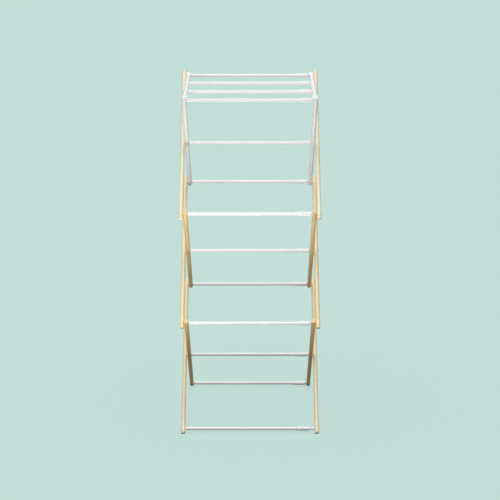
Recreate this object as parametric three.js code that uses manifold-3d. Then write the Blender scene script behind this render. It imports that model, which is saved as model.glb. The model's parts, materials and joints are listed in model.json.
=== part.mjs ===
// Free-standing folding drying rack: three scissor stages of round dowels joined by rungs
// that telescope, with a hinged top rail on each side that hooks over the top front rung.
//
// Millimetres. +X runs across the rack, -Y is the front, +Z is up.
// The origin is on the floor, at the centre of the rack's footprint.
// The rack stands open for use, at its narrowest width.

import * as THREE from 'three';
import { mergeVertices } from 'three/addons/utils/BufferGeometryUtils.js';
import Module from 'manifold-3d';

const wasm = await Module();
wasm.setup();

// ---------------------------------------------------------------- driving dimensions

const STAGES = 3;
const WIDTH = 430;              // over the rivet heads, closed up
const PIVOT_DEPTH = 400;        // front pivots to back pivots
const STAGE_HEIGHT = 345;       // one rung row to the next
const FLOOR_PIVOT_HEIGHT = 12;  // lowest rungs above the floor

const DOWEL_RADIUS = 6.5;
const DOWEL_CHAMFER = 1;
const TIP_LENGTH = 18;          // dowel past its end pivot
const PLANE_SPACING = 13.5;     // outer dowels to inner dowels

const TUBE_RADIUS = 5;          // outer tube of a rung
const TUBE_BORE_RADIUS = 4.4;
const ROD_RADIUS = 4;           // inner tube of a rung
const ROD_BORE_RADIUS = 3.2;
const TUBE_OPEN_END = 178;      // from the rack's middle, both tubes
const COLLAR_RADIUS = 6.5;
const COLLAR_START = 144;
const COLLAR_END = 183.4;

const PIN_RADIUS = 2.5;
const HEAD_RADIUS = 4.5;
const HEAD_THICKNESS = 1.2;
const HEAD_CROWN_RADIUS = 2.6;
const BORE_FLOOR_THICKNESS = 3; // solid end between a rung's bore and its pin
const GAP = 0.3;                // running gap between pieces that touch

const RAIL_RUNG_COUNT = 2;
const SPIGOT_RADIUS = 4.6;
const SPIGOT_LENGTH = 18;
const FITTING_END_WALL = 3;
const EYE_RADIUS = 9.5;
const EYE_SOCKET_END = 30;      // from the back pivot
const HOOK_SOCKET_START = 22;   // from the front rung
const HOOK_SOCKET_LENGTH = 28;
const HOOK_PLATE_THICKNESS = 3;
const HOOK_WALL = 3.5;          // hook metal round the rung
const HOOK_LIP_ANGLE = 41;      // degrees above the front, where the hook ends
const HOOK_HEEL_ANGLE = 180;    // degrees, straight behind the rung
const HOOK_ARC_STEPS = 10;

const DOWEL_SIDES = 14;
const ROUND_SIDES = 12;
const ROW_COUNT = STAGES + 1;

// ---------------------------------------------------------------- derived places

const OUTER_X = WIDTH / 2 - HEAD_THICKNESS - GAP - DOWEL_RADIUS;
const INNER_X = OUTER_X - PLANE_SPACING;
const PIVOT_SPAN = Math.hypot(PIVOT_DEPTH, STAGE_HEIGHT);
const SLOPE = Math.atan2(STAGE_HEIGHT, PIVOT_DEPTH);
const FRONT_Y = -PIVOT_DEPTH / 2;
const BACK_Y = PIVOT_DEPTH / 2;
const rowHeight = (row) => FLOOR_PIVOT_HEIGHT + row * STAGE_HEIGHT;
const TOP_Z = rowHeight(STAGES);
const SIDES = [{ name: 'left', sign: -1 }, { name: 'right', sign: 1 }];

// ---------------------------------------------------------------- materials

const finish = (color, roughness, metalness = 0) =>
  new THREE.MeshStandardMaterial({ color, roughness, metalness });
const NATURAL_WOOD = finish(0xe2c690, 0.6);
const WHITE_LACQUER = finish(0xe6e8e4, 0.45);
const WHITE_STEEL = finish(0xf2f4f3, 0.35, 0.1);
const WHITE_PLASTIC = finish(0xf4f5f3, 0.4);

// ---------------------------------------------------------------- solid helpers

// A closed solid from a geometry: shared vertices merged, collapsed faces left out.
function solidOf(geometry) {
  const bare = geometry.clone();
  bare.deleteAttribute('normal');
  bare.deleteAttribute('uv');
  const merged = mergeVertices(bare, 1e-4);
  const index = merged.index.array;
  const faces = [];
  for (let i = 0; i < index.length; i += 3) {
    const [a, b, c] = [index[i], index[i + 1], index[i + 2]];
    if (a !== b && b !== c && c !== a) faces.push(a, b, c);
  }
  return new wasm.Manifold(new wasm.Mesh({
    numProp: 3,
    vertProperties: new Float32Array(merged.attributes.position.array),
    triVerts: new Uint32Array(faces),
  }));
}

function geometryOf(solid) {
  const mesh = solid.getMesh();
  const geometry = new THREE.BufferGeometry();
  geometry.setAttribute('position', new THREE.BufferAttribute(mesh.vertProperties, 3));
  geometry.setIndex(new THREE.BufferAttribute(mesh.triVerts, 1));
  geometry.computeVertexNormals();
  return geometry;
}

// A turned shape on the X axis, from a profile of [place along X, radius] points.
function turned(profile, sides = ROUND_SIDES) {
  const points = profile.map(([along, radius]) => new THREE.Vector2(radius, along));
  return new THREE.LatheGeometry(points, sides).rotateZ(-Math.PI / 2);
}

// A plain round bar on the X axis, for joining or cutting.
const bar = (from, to, radius, sides = ROUND_SIDES) =>
  turned([[from, 0], [from, radius], [to, radius], [to, 0]], sides);

// A round hole whose flats, not its corners, clear a pin of the given radius.
function pinHole(halfLength, pinRadius = PIN_RADIUS) {
  const cornerRadius = (pinRadius + GAP) / Math.cos(Math.PI / ROUND_SIDES);
  return bar(-halfLength, halfLength, cornerRadius);
}

function addMesh(parent, name, geometry, material, position = [0, 0, 0]) {
  const mesh = new THREE.Mesh(geometry, material);
  mesh.name = name;
  mesh.position.set(...position);
  parent.add(mesh);
  return mesh;
}

// ---------------------------------------------------------------- legs

// A leg along its own X axis, centred on its middle pivot, with three pin holes across it.
// A foot is cut level with the floor at the end where X is lowest.
function legGeometry(isFoot) {
  const end = PIVOT_SPAN / 2 + TIP_LENGTH;
  const dowel = solidOf(turned([
    [-end, 0],
    [-end, DOWEL_RADIUS - DOWEL_CHAMFER],
    [-end + DOWEL_CHAMFER, DOWEL_RADIUS],
    [end - DOWEL_CHAMFER, DOWEL_RADIUS],
    [end, DOWEL_RADIUS - DOWEL_CHAMFER],
    [end, 0],
  ], DOWEL_SIDES));

  let leg = dowel;
  for (const pivot of [-PIVOT_SPAN / 2, 0, PIVOT_SPAN / 2]) {
    const hole = pinHole(DOWEL_RADIUS * 2).rotateY(Math.PI / 2).translate(pivot, 0, 0);
    leg = leg.subtract(solidOf(hole));
  }
  if (isFoot) leg = leg.subtract(solidOf(belowFloor()));
  return geometryOf(leg);
}

// The block under the floor, seen from a bottom leg that lies along X with Y as its upper side.
function belowFloor() {
  const size = 80;
  const block = new THREE.BoxGeometry(size, size, size);
  block.translate(0, -size / 2 - FLOOR_PIVOT_HEIGHT, 0);
  block.rotateZ(-SLOPE);
  return block.translate(-PIVOT_SPAN / 2, 0, 0);
}

// Outer legs rise towards the back and inner legs rise towards the front.
// The leg's own X points up its slope, and its own Z lies across the rack.
function addLeg(parent, side, isOuter, stage) {
  const place = new THREE.Group();
  place.position.set(
    side.sign * (isOuter ? OUTER_X : INNER_X), 0, rowHeight(stage) + STAGE_HEIGHT / 2);
  const towards = isOuter ? 1 : -1;
  const upSlope = new THREE.Vector3(0, towards * Math.cos(SLOPE), Math.sin(SLOPE));
  const upperSide = new THREE.Vector3(0, -towards * Math.sin(SLOPE), Math.cos(SLOPE));
  const across = new THREE.Vector3().crossVectors(upSlope, upperSide);
  place.setRotationFromMatrix(new THREE.Matrix4().makeBasis(upSlope, upperSide, across));
  parent.add(place);

  const isTopInner = !isOuter && stage === STAGES - 1;
  const name = `${side.name}_${isOuter ? 'outer' : 'inner'}_leg_${stage + 1}`;
  const material = isTopInner ? WHITE_LACQUER : NATURAL_WOOD;
  addMesh(place, name, legGeometry(stage === 0), material);
}

// ---------------------------------------------------------------- rungs

// A rung's pins run through one dowel or two. `near` is the face that the tube stops at
// and `far` the face that the rivet head sits on, both measured from the rack's middle.
const THROUGH_BOTH = { near: INNER_X - DOWEL_RADIUS, far: OUTER_X + DOWEL_RADIUS };
const THROUGH_INNER = { near: INNER_X - DOWEL_RADIUS, far: INNER_X + DOWEL_RADIUS };
const THROUGH_OUTER = { near: OUTER_X - DOWEL_RADIUS, far: OUTER_X + DOWEL_RADIUS };

// One hollow tube, closed at its left end, where a pin and rivet head go through the legs.
function tubeGeometry(anchor, radius, boreRadius) {
  const head = -(anchor.far + GAP + HEAD_THICKNESS);
  const shoulder = -(anchor.near - GAP);
  return turned([
    [head, 0],
    [head, HEAD_CROWN_RADIUS],
    [head + HEAD_THICKNESS / 2, HEAD_RADIUS],
    [head + HEAD_THICKNESS, HEAD_RADIUS],
    [head + HEAD_THICKNESS, PIN_RADIUS],
    [shoulder, PIN_RADIUS],
    [shoulder, radius],
    [TUBE_OPEN_END, radius],
    [TUBE_OPEN_END, boreRadius],
    [shoulder + BORE_FLOOR_THICKNESS, boreRadius],
    [shoulder + BORE_FLOOR_THICKNESS, 0],
  ]);
}

// The sleeve on the open end of the outer tube, with a lip that guides the inner tube.
function collarGeometry() {
  const edge = 0.8;
  const lipStart = TUBE_OPEN_END + GAP;
  return turned([
    [COLLAR_START, TUBE_RADIUS + GAP],
    [COLLAR_START, COLLAR_RADIUS - edge],
    [COLLAR_START + edge, COLLAR_RADIUS],
    [COLLAR_END - edge, COLLAR_RADIUS],
    [COLLAR_END, COLLAR_RADIUS - edge],
    [COLLAR_END, ROD_RADIUS + GAP],
    [lipStart, ROD_RADIUS + GAP],
    [lipStart, TUBE_RADIUS + GAP],
    [COLLAR_START, TUBE_RADIUS + GAP],
  ]);
}

function addRung(parent, name, y, z, anchor) {
  const innerTube = tubeGeometry(anchor, ROD_RADIUS, ROD_BORE_RADIUS).rotateZ(Math.PI);
  addMesh(parent, `${name}_outer_tube`, tubeGeometry(anchor, TUBE_RADIUS, TUBE_BORE_RADIUS),
    WHITE_STEEL, [0, y, z]);
  addMesh(parent, `${name}_inner_tube`, innerTube, WHITE_STEEL, [0, y, z]);
  addMesh(parent, `${name}_collar`, collarGeometry(), WHITE_PLASTIC, [0, y, z]);
}

// ---------------------------------------------------------------- top rails

// The rail's own frame: X along the rail towards the front, from the back pivot, Y up.
const RAIL_START = EYE_SOCKET_END + GAP;
const RAIL_END = PIVOT_DEPTH - HOOK_SOCKET_START - HOOK_SOCKET_LENGTH - GAP;
const railRungPlace = (k) => (k * PIVOT_DEPTH) / (RAIL_RUNG_COUNT + 1);

function railGeometry() {
  let rail = solidOf(turned([
    [RAIL_START - SPIGOT_LENGTH, 0],
    [RAIL_START - SPIGOT_LENGTH, SPIGOT_RADIUS],
    [RAIL_START, SPIGOT_RADIUS],
    [RAIL_START, DOWEL_RADIUS],
    [RAIL_END, DOWEL_RADIUS],
    [RAIL_END, SPIGOT_RADIUS],
    [RAIL_END + SPIGOT_LENGTH, SPIGOT_RADIUS],
    [RAIL_END + SPIGOT_LENGTH, 0],
  ], DOWEL_SIDES));
  for (let k = 1; k <= RAIL_RUNG_COUNT; k += 1) {
    const hole = pinHole(DOWEL_RADIUS * 2).rotateY(Math.PI / 2).translate(railRungPlace(k), 0, 0);
    rail = rail.subtract(solidOf(hole));
  }
  return geometryOf(rail);
}

const socket = (from, to) =>
  solidOf(bar(from, to, (SPIGOT_RADIUS + GAP) / Math.cos(Math.PI / DOWEL_SIDES), DOWEL_SIDES));

// The eye that turns on the top back rung, with a socket for the rail's end.
function eyeGeometry() {
  const disc = bar(-DOWEL_RADIUS, DOWEL_RADIUS, EYE_RADIUS, 24).rotateY(Math.PI / 2);
  let eye = solidOf(disc);
  eye = eye.add(solidOf(bar(0, EYE_SOCKET_END, DOWEL_RADIUS, DOWEL_SIDES)));
  eye = eye.subtract(socket(EYE_SOCKET_END - SPIGOT_LENGTH, EYE_SOCKET_END + GAP));
  eye = eye.subtract(solidOf(pinHole(DOWEL_RADIUS * 2).rotateY(Math.PI / 2)));
  return geometryOf(eye);
}

// The outline of the hook plate, with the rung at the origin and the front towards +X.
// It bears on the rung from its front upper side, over the top, to straight behind it.
function hookOutline(rungRadius) {
  const seat = (rungRadius + GAP) / Math.cos(Math.PI / ROUND_SIDES);
  const outer = seat + HOOK_WALL;
  const lip = THREE.MathUtils.degToRad(HOOK_LIP_ANGLE);
  const heel = THREE.MathUtils.degToRad(HOOK_HEEL_ANGLE);
  const tail = -(HOOK_SOCKET_START + HOOK_SOCKET_LENGTH - FITTING_END_WALL);
  const outline = new THREE.Shape();
  outline.moveTo(seat * Math.cos(lip), seat * Math.sin(lip));
  outline.absarc(0, 0, seat, lip, heel, false);
  outline.lineTo(-seat, -DOWEL_RADIUS + DOWEL_CHAMFER);
  outline.lineTo(tail, -DOWEL_RADIUS + DOWEL_CHAMFER);
  outline.lineTo(tail, DOWEL_RADIUS - DOWEL_CHAMFER);
  outline.lineTo(-HOOK_SOCKET_START, DOWEL_RADIUS - DOWEL_CHAMFER);
  outline.lineTo(-outer * Math.SQRT1_2, outer * Math.SQRT1_2);
  outline.absarc(0, 0, outer, 0.75 * Math.PI, lip, true);
  outline.closePath();
  return outline;
}

// A socket for the rail's front end, with the hook plate on its inner side.
// inward is +1 or -1, the way the plate lies from the socket in the rail's own Z.
function hookGeometry(rungRadius, inward) {
  const socketEnd = PIVOT_DEPTH - HOOK_SOCKET_START;
  const socketStart = socketEnd - HOOK_SOCKET_LENGTH;
  const plate = new THREE.ExtrudeGeometry(hookOutline(rungRadius),
    { depth: HOOK_PLATE_THICKNESS, bevelEnabled: false, curveSegments: HOOK_ARC_STEPS });
  const nearFace = DOWEL_RADIUS + GAP;
  const plateStart = inward > 0 ? nearFace : -nearFace - HOOK_PLATE_THICKNESS;
  plate.translate(PIVOT_DEPTH, 0, plateStart);

  const bridgeDepth = nearFace + HOOK_PLATE_THICKNESS / 2;
  const bridgeHeight = 2 * (DOWEL_RADIUS - DOWEL_CHAMFER) - 1;
  const bridgeLength = HOOK_SOCKET_LENGTH - FITTING_END_WALL - 1;
  const bridge = new THREE.BoxGeometry(bridgeLength, bridgeHeight, bridgeDepth);
  bridge.translate((socketStart + socketEnd) / 2, 0, (inward * bridgeDepth) / 2);

  let hook = solidOf(bar(socketStart, socketEnd, DOWEL_RADIUS, DOWEL_SIDES));
  hook = hook.add(solidOf(bridge));
  hook = hook.add(solidOf(plate));
  hook = hook.subtract(socket(socketStart - GAP, socketStart + SPIGOT_LENGTH));
  return geometryOf(hook);
}

function addTopRail(parent, side) {
  const place = new THREE.Group();
  place.position.set(side.sign * INNER_X, BACK_Y, TOP_Z);
  const basis = new THREE.Matrix4().makeBasis(
    new THREE.Vector3(0, -1, 0), new THREE.Vector3(0, 0, 1), new THREE.Vector3(-1, 0, 0));
  place.setRotationFromMatrix(basis);
  parent.add(place);

  const rungRadius = side.sign < 0 ? TUBE_RADIUS : ROD_RADIUS;
  addMesh(place, `${side.name}_top_rail`, railGeometry(), WHITE_LACQUER);
  addMesh(place, `${side.name}_rail_eye`, eyeGeometry(), WHITE_PLASTIC);
  addMesh(place, `${side.name}_rail_hook`, hookGeometry(rungRadius, side.sign), WHITE_PLASTIC);
}

// ---------------------------------------------------------------- assembly

const rack = new THREE.Group();
rack.name = 'folding_drying_rack';

for (const side of SIDES) {
  for (let stage = 0; stage < STAGES; stage += 1) {
    addLeg(rack, side, true, stage);
    addLeg(rack, side, false, stage);
  }
  addTopRail(rack, side);
}

for (let row = 0; row < ROW_COUNT; row += 1) {
  const frontAnchor = row === 0 ? THROUGH_OUTER : row === STAGES ? THROUGH_INNER : THROUGH_BOTH;
  const backAnchor = row === 0 ? THROUGH_INNER : THROUGH_BOTH;
  addRung(rack, `front_rung_${row + 1}`, FRONT_Y, rowHeight(row), frontAnchor);
  addRung(rack, `back_rung_${row + 1}`, BACK_Y, rowHeight(row), backAnchor);
}
for (let stage = 0; stage < STAGES; stage += 1) {
  addRung(rack, `centre_rung_${stage + 1}`, 0, rowHeight(stage) + STAGE_HEIGHT / 2, THROUGH_BOTH);
}
for (let k = 1; k <= RAIL_RUNG_COUNT; k += 1) {
  addRung(rack, `top_rung_${k}`, BACK_Y - railRungPlace(k), TOP_Z, THROUGH_INNER);
}

export default rack;
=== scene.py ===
"""Looks of the folding drying rack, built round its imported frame.

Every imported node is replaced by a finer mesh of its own: turned dowels and tubes with
rounded ends, drilled pin holes, domed rivet heads, tapered collars, and moulded eyes and
hooks. Metres, in the frame's own axes: +X across the rack, -Y its front, +Z up.
"""

import json
import math
import random

import bmesh
import bpy
import numpy as np
from mathutils import Matrix, Vector

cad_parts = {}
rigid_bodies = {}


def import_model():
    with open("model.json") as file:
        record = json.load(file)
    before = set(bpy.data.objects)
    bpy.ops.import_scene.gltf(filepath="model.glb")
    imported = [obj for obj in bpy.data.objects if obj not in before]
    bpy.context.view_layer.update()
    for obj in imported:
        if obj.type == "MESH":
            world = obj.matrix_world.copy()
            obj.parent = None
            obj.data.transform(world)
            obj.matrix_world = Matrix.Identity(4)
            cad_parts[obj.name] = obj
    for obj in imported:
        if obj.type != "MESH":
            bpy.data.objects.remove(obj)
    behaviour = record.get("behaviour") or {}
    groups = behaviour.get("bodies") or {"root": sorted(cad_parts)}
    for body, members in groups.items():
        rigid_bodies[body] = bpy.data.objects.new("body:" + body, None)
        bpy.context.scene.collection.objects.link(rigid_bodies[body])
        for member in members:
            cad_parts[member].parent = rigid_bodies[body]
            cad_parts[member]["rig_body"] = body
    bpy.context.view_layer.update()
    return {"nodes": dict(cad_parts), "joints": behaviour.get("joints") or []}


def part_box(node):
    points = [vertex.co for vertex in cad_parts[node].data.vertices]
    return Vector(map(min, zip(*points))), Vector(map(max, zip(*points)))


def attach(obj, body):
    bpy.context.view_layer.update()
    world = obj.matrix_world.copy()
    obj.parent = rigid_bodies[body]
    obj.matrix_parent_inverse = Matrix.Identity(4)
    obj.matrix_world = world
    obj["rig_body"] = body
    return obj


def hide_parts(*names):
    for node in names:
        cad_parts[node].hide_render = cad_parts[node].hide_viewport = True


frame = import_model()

MM = 0.001

# ------------------------------------------------------------------ places, from the frame

PIVOTS = {joint["name"]: Vector(joint["pos_m"]) for joint in frame["joints"] if "pos_m" in joint}
STAGES = 3
BACK_Y = PIVOTS["fold"].y
PIVOT_DEPTH = 2 * BACK_Y
STAGE_HEIGHT = PIVOTS["stage_3_back_pivot"].z - PIVOTS["fold"].z
FLOOR_PIVOT_HEIGHT = PIVOTS["fold"].z - STAGE_HEIGHT
TOP_Z = FLOOR_PIVOT_HEIGHT + STAGES * STAGE_HEIGHT
PIVOT_SPAN = math.hypot(PIVOT_DEPTH, STAGE_HEIGHT)
SLOPE = math.atan2(STAGE_HEIGHT, PIVOT_DEPTH)


def middle(node):
    """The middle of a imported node's box."""
    low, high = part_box(node)
    return (low + high) / 2


OUTER_X = middle("right_outer_leg_1").x
INNER_X = middle("right_inner_leg_1").x

# ------------------------------------------------------------------ sizes of the pieces

GAP = 0.3 * MM                 # running gap between pieces that touch
DOWEL_RADIUS = 6.5 * MM
DOWEL_ROUNDING = 1.4 * MM
TIP_LENGTH = 18 * MM           # dowel past its end pivot
FOOT_EDGE = 0.5 * MM           # broken edge round the flat of a foot
COUNTERSINK = 0.6 * MM

TUBE_RADIUS = 5 * MM
TUBE_BORE_RADIUS = 4.4 * MM
ROD_RADIUS = 4 * MM
ROD_BORE_RADIUS = 3.2 * MM
TUBE_OPEN_END = 178 * MM       # from the rack's middle
TUBE_END_ROUNDING = 1.1 * MM
TUBE_MOUTH_ROUNDING = 0.12 * MM
BORE_FLOOR_THICKNESS = 3 * MM

COLLAR_RADIUS = 6.5 * MM
COLLAR_END_RADIUS = 5.75 * MM
COLLAR_TAPER = 3.5 * MM
COLLAR_START = 144 * MM
COLLAR_END = 183.4 * MM
COLLAR_SEAM = 0.07 * MM        # height of the mould's parting line
COLLAR_BACK_ROUNDING = 0.18 * MM
COLLAR_LIP_ROUNDING = 0.4 * MM
COLLAR_STEP_ROUNDING = 0.2 * MM

PIN_RADIUS = 2.5 * MM
HEAD_RADIUS = 4.5 * MM
HEAD_THICKNESS = 1.2 * MM
HEAD_RIM = 0.35 * MM           # straight edge under the dome

RAIL_RUNG_COUNT = 2
SPIGOT_RADIUS = 4.6 * MM
SPIGOT_LENGTH = 18 * MM
SPIGOT_ROUNDING = 0.6 * MM
RAIL_END_ROUNDING = 0.4 * MM
EYE_RADIUS = 9.5 * MM
EYE_SOCKET_END = 30 * MM       # from the back pivot
HOOK_SOCKET_START = 22 * MM    # from the front rung
HOOK_SOCKET_LENGTH = 28 * MM
HOOK_PLATE_THICKNESS = 3 * MM
HOOK_WALL = 3.5 * MM
HOOK_LIP_ANGLE = math.radians(41)
HOOK_BACK_ANGLE = 0.75 * math.pi
HOOK_PLATE_INSET = 1 * MM      # plate's edges inside the dowel's, above and below
HOOK_BRIDGE_INSET = 1.5 * MM   # the same for the bridge from the socket to the plate
HOOK_BRIDGE_MARGIN = 2 * MM    # bridge's ends inside the socket's
FITTING_END_WALL = 3 * MM

CONTACT_SHADOW_HEIGHT = 10 * MM    # how high up the feet a painted contact shadow reaches

# ------------------------------------------------------------------ fineness of the meshes

DOWEL_SEGMENTS = 48
TUBE_SEGMENTS = 40
MOULD_SEGMENTS = 64
FLOOR_SEGMENTS = 96
FILLET_STEPS = 4
HOOK_ARC_STEPS = 24
FOOT_EDGE_SEGMENTS = 3
ROUND_PROFILE = 0.5
RING_HOLD = 0.6 * MM           # a ring this far from each end of a long straight span
LONG_SPAN = 6 * RING_HOLD
RING_SPACING = 24 * MM
RINGS_BESIDE_HOLE = (-9 * MM, -5 * MM, 5 * MM, 9 * MM)
SHARP_ANGLE = math.radians(38)
SAME_PLACE = 1e-6              # metres between points that count as one
MOULD_VOXEL = 0.38 * MM        # grain of the moulded pieces' meshes
MOULD_SMOOTHING_FACTOR = 0.5
MOULD_SMOOTHING = 9

# How far a cutter runs past the face that it cuts.
HOLE_OVERRUN = 2 * MM
SOCKET_OVERRUN = 1 * MM
SEAT_CUTTER_REACH = 20 * MM

# ------------------------------------------------------------------ mesh helpers


def rounded(corners):
    """The outline through [place along X, radius, rounding] corners, with its corners rounded."""
    outline = []
    for index, (along, radius, rounding) in enumerate(corners):
        corner = Vector((along, radius))
        if not rounding:
            outline.append(tuple(corner))
            continue
        back = (Vector(corners[index - 1][:2]) - corner).normalized()
        ahead = (Vector(corners[index + 1][:2]) - corner).normalized()
        half_angle = back.angle(ahead) / 2
        centre = corner + (back + ahead).normalized() * rounding / math.sin(half_angle)
        first = corner + back * rounding / math.tan(half_angle) - centre
        last = corner + ahead * rounding / math.tan(half_angle) - centre
        sweep = first.angle(last)
        for step in range(FILLET_STEPS + 1):
            share = step / FILLET_STEPS
            spoke = first * math.sin((1 - share) * sweep) + last * math.sin(share * sweep)
            outline.append(tuple(centre + spoke / math.sin(sweep)))
    return outline


def with_rings(outline, extra=()):
    """Adds rings to an outline's long straight spans, near their ends and evenly between.

    Spans straight out from the axis get none. extra gives more places along X for rings.
    """
    spaced = [outline[0]]
    for (x0, r0), (x1, r1) in zip(outline, outline[1:]):
        length = math.hypot(x1 - x0, r1 - r0)
        if length > LONG_SPAN and min(r0, r1) > 0 and x1 != x0:
            held = length - 2 * RING_HOLD
            count = max(1, math.ceil(held / RING_SPACING))
            shares = [(RING_HOLD + k * held / count) / length for k in range(count + 1)]
            even = {x0 + share * (x1 - x0) for share in shares}
            asked_for = {x for x in extra if min(x0, x1) < x < max(x0, x1)}
            for x in sorted(even | asked_for, reverse=x1 < x0):
                spaced.append((x, r0 + (r1 - r0) * (x - x0) / (x1 - x0)))
        spaced.append((x1, r1))
    return spaced


def beside(holes):
    """Places for rings on both sides of each pin hole."""
    return [hole + offset for hole in holes for offset in RINGS_BESIDE_HOLE]


def turned(outline, segments, seam_height=0.0, seam_radius=None):
    """A closed mesh turned about X from (place along X, radius) points.

    The outline starts and ends on the axis, or ends where it started and makes a ring.
    Points at least seam_radius from the axis rise by seam_height on two opposite sides.
    """
    is_ring = outline[0] == outline[-1]
    rows = outline[:-1] if is_ring else outline[1:-1]
    turns = [2 * math.pi * k / segments for k in range(segments)]
    vertices = []
    for x, radius in rows:
        for k, turn in enumerate(turns):
            on_seam = seam_radius is not None and radius >= seam_radius and k % (segments // 2) == 0
            reach = radius + seam_height * on_seam
            vertices.append((x, reach * math.cos(turn), reach * math.sin(turn)))
    faces = []
    for row in range(len(rows) if is_ring else len(rows) - 1):
        start = row * segments
        after = (row + 1) % len(rows) * segments
        for k in range(segments):
            following = (k + 1) % segments
            faces.append((start + k, start + following, after + following, after + k))
    if not is_ring:
        last = (len(rows) - 1) * segments
        tips = len(vertices)
        vertices += [(outline[0][0], 0, 0), (outline[-1][0], 0, 0)]
        for k in range(segments):
            following = (k + 1) % segments
            faces.append((tips, k, following))
            faces.append((tips + 1, last + following, last + k))
    return mesh_of(vertices, faces)


def mesh_of(vertices, faces):
    """A mesh of these vertices and faces, with its faces pointing out."""
    mesh = bpy.data.meshes.new("part")
    mesh.from_pydata(vertices, [], faces)
    solid = bmesh.new()
    solid.from_mesh(mesh)
    bmesh.ops.recalc_face_normals(solid, faces=solid.faces)
    solid.to_mesh(mesh)
    solid.free()
    return mesh


def turned_across(outline, segments, along=0.0):
    """A turned mesh whose axis is the piece's own Z, at a place along X."""
    mesh = turned(outline, segments)
    mesh.transform(Matrix.Translation((along, 0, 0)) @ Matrix.Rotation(math.pi / 2, 4, "Y"))
    return mesh


def bar(start, end, radius):
    """The outline of a plain bar, for joining or cutting."""
    return [(start, 0), (start, radius), (end, radius), (end, 0)]


def evaluated(mesh, add_modifiers):
    """The mesh as it comes out of the modifiers that add_modifiers puts on an object with it."""
    worker = bpy.data.objects.new("worker", mesh)
    bpy.context.scene.collection.objects.link(worker)
    add_modifiers(worker)
    graph = bpy.context.evaluated_depsgraph_get()
    result = bpy.data.meshes.new_from_object(worker.evaluated_get(graph))
    bpy.data.objects.remove(worker)
    return result


def combined(mesh, others, operation):
    """The mesh joined with others, by UNION, or cut by them, by DIFFERENCE."""
    tools = [bpy.data.objects.new("tool", other) for other in others]

    def add_modifiers(worker):
        for tool in tools:
            bpy.context.scene.collection.objects.link(tool)
            modifier = worker.modifiers.new("combine", "BOOLEAN")
            modifier.object = tool
            modifier.operation = operation
            modifier.solver = "EXACT"

    result = evaluated(mesh, add_modifiers)
    for tool in tools:
        bpy.data.objects.remove(tool)
    return result


def moulded(mesh):
    """The joined blocks of a mesh run together and softened, as they come out of a mould."""
    def add_modifiers(worker):
        remesh = worker.modifiers.new("remesh", "REMESH")
        remesh.mode = "VOXEL"
        remesh.voxel_size = MOULD_VOXEL
        smooth = worker.modifiers.new("smooth", "SMOOTH")
        smooth.factor = MOULD_SMOOTHING_FACTOR
        smooth.iterations = MOULD_SMOOTHING

    return evaluated(mesh, add_modifiers)


def pin_hole(along):
    """A cutter for a pin's hole through a dowel, opened out a little at both faces."""
    radius = PIN_RADIUS + GAP
    wide = radius + COUNTERSINK
    outside = DOWEL_RADIUS + HOLE_OVERRUN
    mouth = DOWEL_RADIUS - COUNTERSINK
    outline = [(-outside, 0), (-outside, wide + outside - DOWEL_RADIUS), (-mouth, radius),
               (mouth, radius), (outside, wide + outside - DOWEL_RADIUS), (outside, 0)]
    return turned_across(outline, TUBE_SEGMENTS, along)


def finished(mesh):
    """Smooth shading with the sharp edges kept."""
    mesh.validate()
    mesh.shade_smooth()
    mesh.set_sharp_from_angle(angle=SHARP_ANGLE)
    return mesh


# ------------------------------------------------------------------ meshes of the pieces


def leg_mesh(is_foot):
    """A leg along its own X, centred on its middle pivot. X points up its slope."""
    end = PIVOT_SPAN / 2 + TIP_LENGTH
    pivots = [-PIVOT_SPAN / 2, 0, PIVOT_SPAN / 2]
    outline = rounded([(-end, 0, 0), (-end, DOWEL_RADIUS, DOWEL_ROUNDING),
                       (end, DOWEL_RADIUS, DOWEL_ROUNDING), (end, 0, 0)])
    dowel = turned(with_rings(outline, beside(pivots)), DOWEL_SEGMENTS)
    leg = combined(dowel, [pin_hole(pivot) for pivot in pivots], "DIFFERENCE")
    if is_foot:
        leg = with_flat_foot(leg)
    return finished(leg)


def with_flat_foot(leg):
    """Cuts the lower end of a bottom leg level with the floor and breaks the edge of the cut."""
    to_floor = Matrix.Rotation(SLOPE, 4, "Z") @ Matrix.Translation((PIVOT_SPAN / 2, 0, 0))
    solid = bmesh.new()
    solid.from_mesh(leg)
    floor_point = to_floor.inverted() @ Vector((0, -FLOOR_PIVOT_HEIGHT, 0))
    floor_normal = to_floor.to_3x3().inverted() @ Vector((0, -1, 0))
    bmesh.ops.bisect_plane(solid, geom=solid.verts[:] + solid.edges[:] + solid.faces[:],
                           plane_co=floor_point, plane_no=floor_normal, clear_outer=True)
    rim = [edge for edge in solid.edges if edge.is_boundary]
    bmesh.ops.holes_fill(solid, edges=rim, sides=0)
    bmesh.ops.recalc_face_normals(solid, faces=solid.faces)
    rim = [edge for edge in solid.edges if edge.is_valid and all(
        abs((vertex.co - floor_point).dot(floor_normal)) < SAME_PLACE for vertex in edge.verts)]
    bmesh.ops.bevel(solid, geom=rim, offset=FOOT_EDGE, segments=FOOT_EDGE_SEGMENTS,
                    profile=ROUND_PROFILE, affect="EDGES")
    solid.to_mesh(leg)
    solid.free()
    return leg


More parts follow.
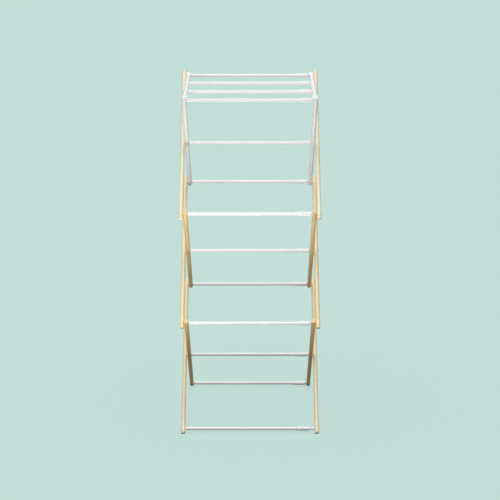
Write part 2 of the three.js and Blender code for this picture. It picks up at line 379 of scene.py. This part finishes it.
def tube_mesh(near, far, radius, bore_radius):
    """A rung tube closed at its left end, whose pin and rivet head go through the legs."""
    head = -(far + GAP + HEAD_THICKNESS)
    shoulder = -(near - GAP)
    dome_height = HEAD_THICKNESS - HEAD_RIM
    dome_radius = (HEAD_RADIUS ** 2 + dome_height ** 2) / (2 * dome_height)
    dome = [(head, 0)]
    for step in range(1, FILLET_STEPS + 1):
        reach = HEAD_RADIUS * step / FILLET_STEPS
        dome.append((head + dome_radius - math.sqrt(dome_radius ** 2 - reach ** 2), reach))
    floor_x = shoulder + BORE_FLOOR_THICKNESS
    rest = rounded([
        (*dome[-1], 0),
        (head + HEAD_THICKNESS, HEAD_RADIUS, HEAD_RIM / 3),
        (head + HEAD_THICKNESS, PIN_RADIUS, 0),
        (shoulder, PIN_RADIUS, 0),
        (shoulder, radius, TUBE_END_ROUNDING),
        (TUBE_OPEN_END, radius, TUBE_MOUTH_ROUNDING),
        (TUBE_OPEN_END, bore_radius, TUBE_MOUTH_ROUNDING),
        (floor_x, bore_radius, 0),
        (floor_x, 0, 0),
    ])
    return finished(turned(with_rings(dome[:-1] + rest), TUBE_SEGMENTS))


def collar_mesh():
    """The sleeve on the outer tube's open end, with a lip that guides the inner tube."""
    bore = TUBE_RADIUS + GAP
    lip_bore = ROD_RADIUS + GAP
    lip_start = TUBE_OPEN_END + GAP
    outline = rounded([
        (COLLAR_START, bore, 0),
        (COLLAR_START, COLLAR_END_RADIUS, COLLAR_BACK_ROUNDING),
        (COLLAR_START + COLLAR_TAPER, COLLAR_RADIUS, COLLAR_TAPER),
        (COLLAR_END - COLLAR_TAPER, COLLAR_RADIUS, COLLAR_TAPER),
        (COLLAR_END, COLLAR_END_RADIUS, COLLAR_LIP_ROUNDING),
        (COLLAR_END, lip_bore, COLLAR_LIP_ROUNDING),
        (lip_start, lip_bore, COLLAR_STEP_ROUNDING),
        (lip_start, bore, 0),
        (COLLAR_START, bore, 0),
    ])
    return finished(turned(with_rings(outline), DOWEL_SEGMENTS, COLLAR_SEAM, COLLAR_END_RADIUS))


def rail_mesh():
    """A top rail along its own X, which points to the front from the back pivot."""
    start = EYE_SOCKET_END + GAP
    end = PIVOT_DEPTH - HOOK_SOCKET_START - HOOK_SOCKET_LENGTH - GAP
    rungs = [k * PIVOT_DEPTH / (RAIL_RUNG_COUNT + 1) for k in range(1, RAIL_RUNG_COUNT + 1)]
    outline = rounded([
        (start - SPIGOT_LENGTH, 0, 0),
        (start - SPIGOT_LENGTH, SPIGOT_RADIUS, SPIGOT_ROUNDING),
        (start, SPIGOT_RADIUS, 0),
        (start, DOWEL_RADIUS, RAIL_END_ROUNDING),
        (end, DOWEL_RADIUS, RAIL_END_ROUNDING),
        (end, SPIGOT_RADIUS, 0),
        (end + SPIGOT_LENGTH, SPIGOT_RADIUS, SPIGOT_ROUNDING),
        (end + SPIGOT_LENGTH, 0, 0),
    ])
    rail = turned(with_rings(outline, beside(rungs)), DOWEL_SEGMENTS)
    return finished(combined(rail, [pin_hole(rung) for rung in rungs], "DIFFERENCE"))


def socket(start, end):
    """A cutter for the socket that a rail's spigot sits in."""
    return turned(bar(start, end, SPIGOT_RADIUS + GAP), TUBE_SEGMENTS)


def eye_mesh():
    """The moulded eye that turns on the top back rung, with a socket for the rail."""
    disc = turned_across(bar(-DOWEL_RADIUS, DOWEL_RADIUS, EYE_RADIUS), MOULD_SEGMENTS)
    neck = turned(bar(0, EYE_SOCKET_END, DOWEL_RADIUS), DOWEL_SEGMENTS)
    eye = moulded(combined(disc, [neck], "UNION"))
    rail_socket = socket(EYE_SOCKET_END - SPIGOT_LENGTH, EYE_SOCKET_END + SOCKET_OVERRUN)
    pivot_cutter = bar(-2 * DOWEL_RADIUS, 2 * DOWEL_RADIUS, PIN_RADIUS + GAP)
    pivot_hole = turned_across(pivot_cutter, TUBE_SEGMENTS)
    return finished(combined(eye, [rail_socket, pivot_hole], "DIFFERENCE"))


def hook_outline(rung_radius):
    """The hook plate's outline round a rung at the origin, with the front towards +X."""
    seat = rung_radius + GAP
    outer = seat + HOOK_WALL
    edge = DOWEL_RADIUS - HOOK_PLATE_INSET
    tail = -(HOOK_SOCKET_START + HOOK_SOCKET_LENGTH - FITTING_END_WALL)

    def arc(radius, start, end):
        turns = [start + (end - start) * k / HOOK_ARC_STEPS for k in range(HOOK_ARC_STEPS + 1)]
        return [(radius * math.cos(turn), radius * math.sin(turn)) for turn in turns]

    inner_arc = arc(seat, HOOK_LIP_ANGLE, math.pi)
    outer_arc = arc(outer, HOOK_BACK_ANGLE, HOOK_LIP_ANGLE)
    body = [(-seat, -edge), (tail, -edge), (tail, edge), (-HOOK_SOCKET_START, edge)]
    return inner_arc + body + outer_arc


def prism(outline, low_z, high_z):
    """A closed mesh from a flat outline in X and Y, between two heights of its own Z."""
    count = len(outline)
    vertices = [(x, y, z) for z in (low_z, high_z) for x, y in outline]
    sides = [(k, (k + 1) % count, (k + 1) % count + count, k + count) for k in range(count)]
    return mesh_of(vertices, [tuple(range(count)), tuple(range(count, 2 * count)), *sides])


def hook_mesh(rung_radius, inward):
    """A socket for the rail's front end, with the hook plate on its inner side.

    inward is +1 or -1: the way the plate lies from the socket in the rail's own Z.
    """
    socket_end = PIVOT_DEPTH - HOOK_SOCKET_START
    socket_start = socket_end - HOOK_SOCKET_LENGTH
    near_face = DOWEL_RADIUS + GAP
    far_face = near_face + HOOK_PLATE_THICKNESS
    plate = prism(hook_outline(rung_radius), *sorted((inward * near_face, inward * far_face)))
    plate.transform(Matrix.Translation((PIVOT_DEPTH, 0, 0)))

    half_height = DOWEL_RADIUS - HOOK_BRIDGE_INSET
    bridge_start = socket_start + HOOK_BRIDGE_MARGIN
    bridge_end = socket_end - HOOK_BRIDGE_MARGIN
    bridge_outline = [(bridge_start, -half_height), (bridge_end, -half_height),
                      (bridge_end, half_height), (bridge_start, half_height)]
    bridge = prism(bridge_outline, *sorted((0, inward * (near_face + HOOK_PLATE_THICKNESS / 2))))

    body = turned(bar(socket_start, socket_end, DOWEL_RADIUS), DOWEL_SEGMENTS)
    hook = moulded(combined(body, [bridge, plate], "UNION"))
    seat_cutter = bar(-SEAT_CUTTER_REACH, SEAT_CUTTER_REACH, rung_radius + GAP)
    seat = turned_across(seat_cutter, MOULD_SEGMENTS, PIVOT_DEPTH)
    rail_socket = socket(socket_start - SOCKET_OVERRUN, socket_start + SPIGOT_LENGTH)
    return finished(combined(hook, [rail_socket, seat], "DIFFERENCE"))


# ------------------------------------------------------------------ node helpers

# What each vertex carries for its material: its place in the uncut stock, with the grain
# along X, how deep the wood's colour is (partly real tone, partly painted shade and light),
# how squarely it faces along the grain, and how dark a painted contact shadow makes it.
STOCK_PLACE = "stock_place"
TONE_AND_PAINTED_SHADE = "tone_and_painted_shade"
END_FACE = "end_face"
PAINTED_CONTACT_SHADOW = "painted_contact_shadow"

NOISE_LOW = 0.3                # a noise seldom leaves this range
NOISE_HIGH = 0.7


def add_node(tree, kind, inputs=None, **settings):
    """A shader node with its settings, and inputs given as values or as sockets to link."""
    made = tree.nodes.new("ShaderNode" + kind)
    for name, value in settings.items():
        setattr(made, name, value)
    for name, value in (inputs or {}).items():
        if isinstance(value, bpy.types.NodeSocket):
            tree.links.new(value, made.inputs[name])
        else:
            made.inputs[name].default_value = value
    return made


def maths(tree, operation, first, second=0.0):
    """The result of a Math node on one or two values."""
    return add_node(tree, "Math", {0: first, 1: second}, operation=operation).outputs[0]


def noise(tree, place, scale, stretch=(1, 1, 1), detail=3.0):
    """Noise with `scale` features to the metre, `stretch`ed by a share for each axis."""
    mapped = add_node(tree, "Mapping", {"Vector": place, "Scale": stretch}).outputs[0]
    made = add_node(tree, "TexNoise", {"Vector": mapped, "Scale": scale, "Detail": detail})
    return made.outputs["Fac"]


def remap(tree, value, low, high, to_low, to_high):
    """A value's range from low to high moved to another, and held within it."""
    return add_node(tree, "MapRange", {
        "Value": value, "From Min": low, "From Max": high, "To Min": to_low, "To Max": to_high,
    }).outputs[0]


def drift(tree, value, to_low, to_high):
    """The range that a noise mostly keeps to, moved to another."""
    return remap(tree, value, NOISE_LOW, NOISE_HIGH, to_low, to_high)


def ramp(tree, value, stops):
    """A ramp through (position, grey) stops."""
    made = add_node(tree, "ValToRGB", {"Fac": value})
    elements = made.color_ramp.elements
    while len(elements) < len(stops):
        elements.new(0.5)
    for element, (position, grey) in zip(elements, stops):
        element.position = position
        element.color = (grey, grey, grey, 1)
    return made.outputs["Color"]


def blended(tree, factor, first, second, blend="MIX"):
    """Two colours mixed by a factor."""
    made = add_node(tree, "Mix", data_type="RGBA", blend_type=blend)
    for socket_index, value in ((0, factor), (6, first), (7, second)):
        if isinstance(value, bpy.types.NodeSocket):
            tree.links.new(value, made.inputs[socket_index])
        else:
            made.inputs[socket_index].default_value = value if socket_index == 0 else (*value, 1)
    return made.outputs[2]


def tinted(tree, colour, mask, share, tint):
    """The colour with at most the given share of a tint, where the mask is 1."""
    return blended(tree, maths(tree, "MULTIPLY", mask, share), colour, tint)


def start_material(name, shader_values):
    """A material's tree, its shader, and the surface's place in the stock it was cut from."""
    material = bpy.data.materials.new(name)
    material.use_nodes = True
    tree = material.node_tree
    shader = tree.nodes["Principled BSDF"]
    for socket_name, value in shader_values.items():
        shader.inputs[socket_name].default_value = value
    place = add_node(tree, "Attribute", attribute_name=STOCK_PLACE).outputs["Vector"]
    return material, tree, shader, place


def carried(tree, name):
    """One of the numbers that each vertex carries."""
    return add_node(tree, "Attribute", attribute_name=name).outputs["Fac"]


def connect(tree, shader, colour, roughness, height, depth, strength):
    """Links colour, roughness and a bump of the given depth in metres to the shader."""
    bump = add_node(tree, "Bump", {"Height": height, "Distance": depth, "Strength": strength})
    tree.links.new(colour, shader.inputs["Base Color"])
    tree.links.new(roughness, shader.inputs["Roughness"])
    tree.links.new(bump.outputs[0], shader.inputs["Normal"])


# ------------------------------------------------------------------ materials

# The deep end stands in for painted shade on the inner legs, which face down, and the pale end for
# painted light on the top outer legs.
PALE_WOOD_AND_PAINTED_LIGHT = (0.89, 0.875, 0.65)      # the palest stock, and the deepest
DEEP_WOOD_AND_PAINTED_SHADE = (0.87, 0.65, 0.29)
LATE_WOOD = (0.76, 0.64, 0.50)       # what the dark lines of the grain take from the colour
WOOD_FLECK = (0.33, 0.19, 0.09)
END_GRAIN = (0.68, 0.58, 0.38)
# The colour of the painted contact shadow on the feet.
CONTACT_SHADOW_COLOUR = (0.07, 0.065, 0.05)
RING_WIDTH = 2.3 * MM
RING_WANDER = 4 * MM                 # how far a growth ring strays from round

LACQUER_BRIGHT = (0.92, 0.92, 0.905)
LACQUER_DULL = (0.88, 0.885, 0.87)
LACQUER_SCUFF = (0.70, 0.68, 0.62)
LACQUER_END = (0.66, 0.60, 0.48)     # wood that shows through on the ends

STEEL_BRIGHT = (0.90, 0.915, 0.91)
STEEL_DULL = (0.87, 0.885, 0.88)
STEEL_SPECK = (0.62, 0.61, 0.58)
STEEL_RUBBED = (0.70, 0.70, 0.68)

PLASTIC_BRIGHT = (0.90, 0.905, 0.90)
PLASTIC_DULL = (0.86, 0.87, 0.86)
PLASTIC_SCUFF = (0.68, 0.67, 0.62)


def wood_fibres(tree, place):
    """Fine fibres along the grain."""
    return noise(tree, place, 2600, stretch=(0.02, 1, 1), detail=4.0)


def natural_wood():
    """Pale dowel wood under clear satin lacquer: growth rings, fibres, flecks and tone, with painted
    shade and light from each leg's depth of colour and a painted contact shadow at the feet.
    """
    material, tree, shader, place = start_material(
        "natural_wood", {"Coat Weight": 0.6, "Coat Roughness": 0.32})
    axes = add_node(tree, "SeparateXYZ", {0: place}).outputs
    squares = [maths(tree, "POWER", axes[k], 2.0) for k in (1, 2)]
    distance = maths(tree, "SQRT", maths(tree, "ADD", *squares))
    wander = noise(tree, place, 30, stretch=(0.12, 1, 1), detail=2.0)
    distance = maths(tree, "ADD", distance, remap(tree, wander, 0, 1, -RING_WANDER, RING_WANDER))
    growth = maths(tree, "FRACT", maths(tree, "DIVIDE", distance, RING_WIDTH))
    rings = ramp(tree, growth, [(0.0, 0.05), (0.55, 0.25), (0.86, 0.75), (0.97, 0.15)])
    fibres = wood_fibres(tree, place)
    tone = noise(tree, place, 22, stretch=(0.35, 1, 1), detail=3.0)
    flecks = ramp(tree, noise(tree, place, 700, stretch=(0.1, 1, 1), detail=2.0),
                  [(0.66, 0.0), (0.74, 1.0)])
    darkness = maths(tree, "ADD", maths(tree, "MULTIPLY", rings, 0.65),
                     drift(tree, tone, -0.10, 0.28))
    darkness = maths(tree, "ADD", darkness, drift(tree, fibres, -0.12, 0.16))
    # Depth of colour, partly real tone and partly painted shade: deeper on the inner legs that face
    # down into shade, paler on the top outer legs as painted light.
    stock = blended(tree, carried(tree, TONE_AND_PAINTED_SHADE), PALE_WOOD_AND_PAINTED_LIGHT, DEEP_WOOD_AND_PAINTED_SHADE)
    grain = blended(tree, darkness, (1, 1, 1), LATE_WOOD)
    colour = blended(tree, 1.0, stock, grain, "MULTIPLY")
    colour = tinted(tree, colour, flecks, 0.35, WOOD_FLECK)
    colour = tinted(tree, colour, carried(tree, END_FACE), 0.6, END_GRAIN)
    # Painted contact shadow: the feet darkened towards the floor.
    colour = tinted(tree, colour, carried(tree, PAINTED_CONTACT_SHADOW), 0.85, CONTACT_SHADOW_COLOUR)
    roughness = drift(tree, fibres, 0.46, 0.62)
    height = maths(tree, "SUBTRACT", fibres, maths(tree, "MULTIPLY", flecks, 0.6))
    connect(tree, shader, colour, roughness, height, 0.06 * MM, 0.6)
    return material


def white_lacquer():
    """White satin lacquer on a dowel: the fibres telegraph through, and the tone drifts."""
    material, tree, shader, place = start_material(
        "white_lacquer", {"Coat Weight": 0.2, "Coat Roughness": 0.3})
    fibres = wood_fibres(tree, place)
    tone = noise(tree, place, 40, stretch=(0.3, 1, 1))
    colour = blended(tree, drift(tree, tone, 0, 1), LACQUER_BRIGHT, LACQUER_DULL)
    scuffs = ramp(tree, noise(tree, place, 260, stretch=(0.5, 1, 1), detail=5.0),
                  [(0.62, 0.0), (0.80, 1.0)])
    colour = tinted(tree, colour, scuffs, 0.3, LACQUER_SCUFF)
    colour = tinted(tree, colour, carried(tree, END_FACE), 0.15, LACQUER_END)
    roughness = drift(tree, tone, 0.34, 0.46)
    connect(tree, shader, colour, roughness, fibres, 0.05 * MM, 0.35)
    return material


def white_steel():
    """White powder coat on steel: orange peel, specks, and fine rub marks along the tube."""
    material, tree, shader, place = start_material(
        "white_steel", {"Coat Weight": 0.1, "Coat Roughness": 0.25})
    peel = noise(tree, place, 1100, detail=2.0)
    tone = noise(tree, place, 35, stretch=(0.3, 1, 1))
    rubs = noise(tree, place, 3000, stretch=(0.015, 1, 1))
    colour = blended(tree, drift(tree, tone, 0, 1), STEEL_BRIGHT, STEEL_DULL)
    specks = ramp(tree, noise(tree, place, 420, detail=4.0), [(0.70, 0.0), (0.78, 1.0)])
    colour = tinted(tree, colour, specks, 0.4, STEEL_SPECK)
    rubbed = maths(tree, "MAXIMUM", remap(tree, rubs, 0.52, 0.75, 0.0, 0.3),
                   maths(tree, "MULTIPLY", carried(tree, END_FACE), 0.35))
    colour = blended(tree, rubbed, colour, STEEL_RUBBED)
    roughness = maths(tree, "ADD", drift(tree, tone, 0.28, 0.36),
                      remap(tree, rubs, 0.45, 0.75, 0.0, 0.12))
    connect(tree, shader, colour, roughness, peel, 0.04 * MM, 0.4)
    return material


def white_plastic():
    """Moulded white plastic: a fine spark texture, a slight drift of tone and dull spots."""
    material, tree, shader, place = start_material("white_plastic", {"IOR": 1.49})
    spark = noise(tree, place, 4200, detail=2.0)
    tone = noise(tree, place, 90)
    colour = blended(tree, drift(tree, tone, 0, 1), PLASTIC_BRIGHT, PLASTIC_DULL)
    scuffs = ramp(tree, noise(tree, place, 320, stretch=(1, 0.4, 0.4), detail=5.0),
                  [(0.60, 0.0), (0.78, 1.0)])
    dulled = maths(tree, "MAXIMUM", maths(tree, "MULTIPLY", scuffs, 0.4),
                   maths(tree, "MULTIPLY", carried(tree, END_FACE), 0.2))
    colour = blended(tree, dulled, colour, PLASTIC_SCUFF)
    roughness = remap(tree, maths(tree, "ADD", tone, maths(tree, "MULTIPLY", spark, 0.4)),
                      0.4, 1.0, 0.36, 0.52)
    connect(tree, shader, colour, roughness, spark, 0.02 * MM, 0.4)
    return material


MATERIALS = {
    "natural_wood": natural_wood(),
    "white_lacquer": white_lacquer(),
    "white_steel": white_steel(),
    "white_plastic": white_plastic(),
}

# ------------------------------------------------------------------ placing the pieces

STOCK_NEAREST = 14 * MM        # of the stock's middle to the tree's, and the furthest
STOCK_FURTHEST = 55 * MM
STOCK_REACH = 2.0              # metres of stock to either side that a piece may come from
MIDDLE_DEPTH = 0.5
END_FACE_START = 0.6           # a normal's share along the piece where its end face begins
END_FACE_SPAN = 0.35

draws = random.Random(43)
rack = bpy.data.collections.new("rack")
bpy.context.scene.collection.children.link(rack)


def vertex_vectors(mesh, kind):
    """Every vertex's "co" or "normal", as rows of three numbers."""
    numbers = np.zeros(len(mesh.vertices) * 3, np.float32)
    mesh.vertices.foreach_get(kind, numbers)
    return numbers.reshape(-1, 3)


def write_values(mesh, name, values):
    """Stores one number for each vertex."""
    mesh.attributes.new(name, "FLOAT", "POINT").data.foreach_set("value", values)


def cut_from_stock(mesh, depth):
    """Writes where in the stock the piece was cut from: off the tree's middle, anywhere along."""
    turn = draws.uniform(0, 2 * math.pi)
    off_middle = draws.uniform(STOCK_NEAREST, STOCK_FURTHEST)
    along = draws.uniform(-STOCK_REACH, STOCK_REACH)
    offset = (along, off_middle * math.cos(turn), off_middle * math.sin(turn))
    places = vertex_vectors(mesh, "co") + np.array(offset, np.float32)
    along_piece = np.abs(vertex_vectors(mesh, "normal")[:, 0])
    facing = np.clip((along_piece - END_FACE_START) / END_FACE_SPAN, 0, 1)
    place = mesh.attributes.new(STOCK_PLACE, "FLOAT_VECTOR", "POINT")
    place.data.foreach_set("vector", places.ravel())
    write_values(mesh, END_FACE, facing)
    # The piece's depth of colour, partly real tone and partly painted shade and light.
    write_values(mesh, TONE_AND_PAINTED_SHADE, np.full(len(mesh.vertices), depth, np.float32))


def paint_contact_shadow(mesh):
    """Writes a painted contact shadow: how dark a placed piece gets near the floor."""
    heights = vertex_vectors(mesh, "co")[:, 2]
    write_values(mesh, PAINTED_CONTACT_SHADOW, np.clip(1 - heights / CONTACT_SHADOW_HEIGHT, 0, 1))


def place_piece(node, mesh, slot, world, tone_and_painted_shade=MIDDLE_DEPTH):
    """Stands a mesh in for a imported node, on that node's body and with its finish."""
    own_mesh = mesh.copy()
    own_mesh.name = node
    cut_from_stock(own_mesh, tone_and_painted_shade)
    own_mesh.materials.clear()
    own_mesh.materials.append(MATERIALS[slot])
    own_mesh.transform(world)
    paint_contact_shadow(own_mesh)
    piece = bpy.data.objects.new(f"{node}_piece", own_mesh)
    rack.objects.link(piece)
    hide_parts(node)
    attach(piece, frame["nodes"][node]["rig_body"])


def axes_at(position, x_axis, y_axis):
    """The matrix that puts a piece's own X and Y along two directions."""
    z_axis = x_axis.cross(y_axis)
    return Matrix.Translation(position) @ Matrix((x_axis, y_axis, z_axis)).transposed().to_4x4()


# How deep the colour of each leg's wood is, from the bottom stage up: partly real tone,
# partly painted shade on the inner legs, which face down into shade, and painted light on the top
# outer legs.
LEG_TONES_AND_PAINTED_SHADE = {"outer": (0.45, 0.50, 0.05), "inner": (1.0, 1.0, 0.5)}


def place_legs():
    """Outer legs rise towards the back and inner legs towards the front."""
    foot_leg = leg_mesh(is_foot=True)
    upper_leg = leg_mesh(is_foot=False)
    for side, sign in (("left", -1), ("right", 1)):
        for kind, x, towards in (("outer", OUTER_X, 1), ("inner", INNER_X, -1)):
            for stage in range(STAGES):
                middle_z = FLOOR_PIVOT_HEIGHT + (stage + 0.5) * STAGE_HEIGHT
                up_slope = Vector((0, towards * math.cos(SLOPE), math.sin(SLOPE)))
                upper_side = Vector((0, -towards * math.sin(SLOPE), math.cos(SLOPE)))
                is_painted = kind == "inner" and stage == STAGES - 1
                place_piece(f"{side}_{kind}_leg_{stage + 1}", upper_leg if stage else foot_leg,
                            "white_lacquer" if is_painted else "natural_wood",
                            axes_at(Vector((sign * x, 0, middle_z)), up_slope, upper_side),
                            LEG_TONES_AND_PAINTED_SHADE[kind][stage])


def place_rungs():
    """Rungs start at the inner legs or the rails, but the lowest front one at the outer legs."""
    collar = collar_mesh()
    to_right = Matrix.Rotation(math.pi, 4, "Z")
    rungs = sorted(name[:-len("_collar")] for name in frame["nodes"] if name.endswith("_collar"))
    for rung in rungs:
        far = -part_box(f"{rung}_outer_tube")[0].x - HEAD_THICKNESS - GAP
        near = (OUTER_X if rung == "front_rung_1" else INNER_X) - DOWEL_RADIUS
        axis = middle(f"{rung}_outer_tube")
        world = Matrix.Translation((0, axis.y, axis.z))
        outer = tube_mesh(near, far, TUBE_RADIUS, TUBE_BORE_RADIUS)
        inner = tube_mesh(near, far, ROD_RADIUS, ROD_BORE_RADIUS)
        place_piece(f"{rung}_outer_tube", outer, "white_steel", world)
        place_piece(f"{rung}_inner_tube", inner, "white_steel", world @ to_right)
        place_piece(f"{rung}_collar", collar, "white_plastic", world)


def place_top_rails():
    """Each rail with its eye at the back and its hook at the front."""
    rail = rail_mesh()
    eye = eye_mesh()
    for side, sign, rung_radius in (("left", -1, TUBE_RADIUS), ("right", 1, ROD_RADIUS)):
        world = axes_at(Vector((sign * INNER_X, BACK_Y, TOP_Z)), Vector((0, -1, 0)), Vector((0, 0, 1)))
        place_piece(f"{side}_top_rail", rail, "white_lacquer", world)
        place_piece(f"{side}_rail_eye", eye, "white_plastic", world)
        place_piece(f"{side}_rail_hook", hook_mesh(rung_radius, sign), "white_plastic", world)


place_legs()
place_rungs()
place_top_rails()

# ------------------------------------------------------------------ floor, light and camera

BACKDROP = (0.546, 0.730, 0.679)     # the pale mint that the floor and background show
FLOOR_COLOUR = (0.49, 0.66, 0.61)
FLOOR_GLOW = 0.85                    # share of the floor's brightness that no shadow takes
FLOOR_RADIUS = 40.0

SKY = [(0.0, 0.13), (0.45, 0.30), (0.60, 0.46), (1.0, 0.60)]    # brightness from below to above

SUN_ENERGY = 1.95
SUN_ANGLE = math.radians(50)         # a wide sun throws soft shadows
SUN_DIRECTION = Vector((0.1, 0.1, -1.0))

SOFTBOX_WIDTH = 0.8
SOFTBOX_HEIGHT = 0.4
SOFTBOX_ENERGY = 3.0
SOFTBOX_SPREAD = math.radians(80)
SOFTBOX_PLACE = Vector((-0.25, -0.85, 0.08))
SOFTBOX_AIM = Vector((0, 0, 1.12))

CAMERA_PLACE = Vector((0, -5.170, 2.037))
CAMERA_AIM = Vector((0, 0, 0.531))
CAMERA_LENS = 123.8
CAMERA_SENSOR_WIDTH = 36


def facing_towards(direction):
    """The rotation that points a light or a camera along a direction."""
    return direction.to_track_quat("-Z", "Y").to_euler()


def add_floor():
    """A round floor whose own glow keeps shadows on it faint."""
    mesh = bpy.data.meshes.new("floor")
    turns = [2 * math.pi * k / FLOOR_SEGMENTS for k in range(FLOOR_SEGMENTS)]
    rim = [(FLOOR_RADIUS * math.cos(turn), FLOOR_RADIUS * math.sin(turn), 0) for turn in turns]
    mesh.from_pydata(rim, [], [tuple(range(FLOOR_SEGMENTS))])
    material = bpy.data.materials.new("floor")
    material.use_nodes = True
    shader = material.node_tree.nodes["Principled BSDF"]
    lit_share = [channel * (1 - FLOOR_GLOW) for channel in FLOOR_COLOUR]
    shader.inputs["Base Color"].default_value = (*lit_share, 1)
    shader.inputs["Emission Color"].default_value = (*BACKDROP, 1)
    shader.inputs["Emission Strength"].default_value = FLOOR_GLOW
    shader.inputs["Roughness"].default_value = 1.0
    shader.inputs["Specular IOR Level"].default_value = 0.0
    mesh.materials.append(material)
    floor = bpy.data.objects.new("floor", mesh)
    bpy.context.scene.collection.objects.link(floor)
    floor.visible_diffuse = False
    floor.visible_glossy = False


def add_world():
    """Soft light from all round, strongest from above, behind a plain backdrop."""
    world = bpy.data.worlds.new("studio")
    bpy.context.scene.world = world
    world.use_nodes = True
    tree = world.node_tree
    direction = add_node(tree, "TexCoord").outputs["Generated"]
    up = add_node(tree, "SeparateXYZ", {0: direction}).outputs[2]
    share = remap(tree, up, -1.0, 1.0, 0.0, 1.0)
    light = ramp(tree, share, SKY)
    is_seen = add_node(tree, "LightPath").outputs["Is Camera Ray"]
    colour = blended(tree, is_seen, light, BACKDROP)
    tree.links.new(colour, tree.nodes["Background"].inputs["Color"])


def add_sun():
    """The main light, from almost straight above."""
    light = bpy.data.lights.new("key", "SUN")
    light.energy = SUN_ENERGY
    light.angle = SUN_ANGLE
    sun = bpy.data.objects.new("key", light)
    bpy.context.scene.collection.objects.link(sun)
    sun.rotation_euler = facing_towards(SUN_DIRECTION)


def add_front_light():
    """A gridded softbox low in front, aimed up at the rack's top, which lights the rack only."""
    light = bpy.data.lights.new("front", "AREA")
    light.shape = "RECTANGLE"
    light.size = SOFTBOX_WIDTH
    light.size_y = SOFTBOX_HEIGHT
    light.energy = SOFTBOX_ENERGY
    light.spread = SOFTBOX_SPREAD
    softbox = bpy.data.objects.new("front", light)
    bpy.context.scene.collection.objects.link(softbox)
    softbox.location = SOFTBOX_PLACE
    softbox.rotation_euler = facing_towards(SOFTBOX_AIM - softbox.location)
    softbox.light_linking.receiver_collection = rack
    softbox.visible_camera = False


def add_camera():
    """In front of the rack's middle, looking down a little."""
    camera = bpy.data.objects.new("camera", bpy.data.cameras.new("camera"))
    bpy.context.scene.collection.objects.link(camera)
    camera.data.sensor_width = CAMERA_SENSOR_WIDTH
    camera.data.lens = CAMERA_LENS
    camera.location = CAMERA_PLACE
    camera.rotation_euler = facing_towards(CAMERA_AIM - camera.location)
    bpy.context.scene.camera = camera


add_floor()
add_world()
add_sun()
add_front_light()
add_camera()
bpy.context.scene.view_settings.view_transform = "Standard"
